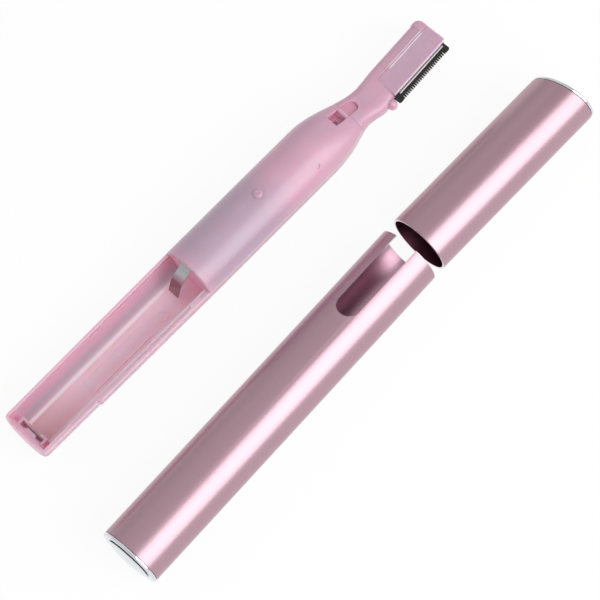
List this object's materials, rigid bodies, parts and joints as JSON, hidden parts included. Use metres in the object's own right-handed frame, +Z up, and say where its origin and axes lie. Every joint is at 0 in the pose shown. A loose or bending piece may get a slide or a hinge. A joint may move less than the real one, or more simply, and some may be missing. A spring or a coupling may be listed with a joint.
{
  "type": "electric eyebrow trimmer",
  "caption": "Slim battery eyebrow trimmer with a side comb blade, laid beside its slotted metal sleeve and slant-ended cap.",
  "frame": {"origin": "on the table, under the middle of the laid-out trimmer, sleeve and cap", "axes": "+X from the battery end towards the blades, +Y towards the trimmer's side, +Z up from the table"},
  "size_m": [0.1402, 0.048, 0.0147],
  "materials": {
    "pearl_plastic": "pearlescent pink moulded plastic",
    "rose_aluminium": "satin rose anodised",
    "bright_plug": "bright plated",
    "spring_steel": "bright spring steel",
    "black_steel": "blackened steel",
    "motor_steel": "zinc plated",
    "ferrite": "sintered",
    "copper": "enamelled winding",
    "nylon": "natural",
    "brass": "rolled sheet"
  },
  "bodies": {
    "casing": {"rear_shell": "pearl_plastic", "front_cover": "pearl_plastic", "head_frame": "pearl_plastic", "blade_cover": "pearl_plastic", "contact_bulkhead": "pearl_plastic", "lower_contact": "spring_steel", "upper_contact": "spring_steel", "return_strip": "brass", "motor_can": "motor_steel", "motor_magnet": "ferrite", "motor_end_cap": "nylon", "motor_terminal_left": "brass", "motor_terminal_right": "brass", "lever_pin": "spring_steel", "fixed_comb": "black_steel", "retaining_strip": "spring_steel", "blade_spring": "spring_steel", "switch_contact": "brass"},
    "rotor": {"motor_shaft": "spring_steel", "motor_armature": "copper", "eccentric": "nylon"},
    "lever": {"drive_lever": "nylon"},
    "cutter": {"blade_carrier": "nylon", "moving_blade": "spring_steel"},
    "switch": {"switch_slider": "pearl_plastic"},
    "sleeve": {"sleeve_tube": "rose_aluminium", "sleeve_plug": "bright_plug"},
    "cap": {"cap_tube": "rose_aluminium", "cap_plug": "bright_plug"}
  },
  "joints": [
    {"name": "switch_slide", "type": "slide", "parent": "casing", "child": "switch", "axis": [-0.9499, 0.0218, 0.3117], "range_m": [0, 0.003]},
    {"name": "rotor_spin", "type": "hinge", "parent": "casing", "child": "rotor", "pos_m": [-0.00561, 0.01729, 0.0067], "axis": [1, 0, 0], "continuous": true},
    {"name": "lever_rock", "type": "hinge", "parent": "casing", "child": "lever", "pos_m": [0.03079, 0.01861, 0.0055], "axis": [0, 0.0698, 0.9976], "range_deg": [-4.4, 4.4]},
    {"name": "cutter_slide", "type": "slide", "parent": "casing", "child": "cutter", "axis": [0.9984, 0.0557, -0.0039], "range_m": [-0.00032, 0.00032]},
    {"name": "sleeve_slide", "type": "slide", "parent": "casing", "child": "sleeve", "axis": [-0.9995, -0.033, 0], "range_m": [0, 0.086]},
    {"name": "cap_slide", "type": "slide", "parent": "sleeve", "child": "cap", "axis": [1, 0.0028, 0], "range_m": [-0.0026, 0.046]}
  ],
  "couplings": [
    {"joint": "lever_rock", "follows": "cutter_slide", "rad_per_m": 237.64}
  ]
}
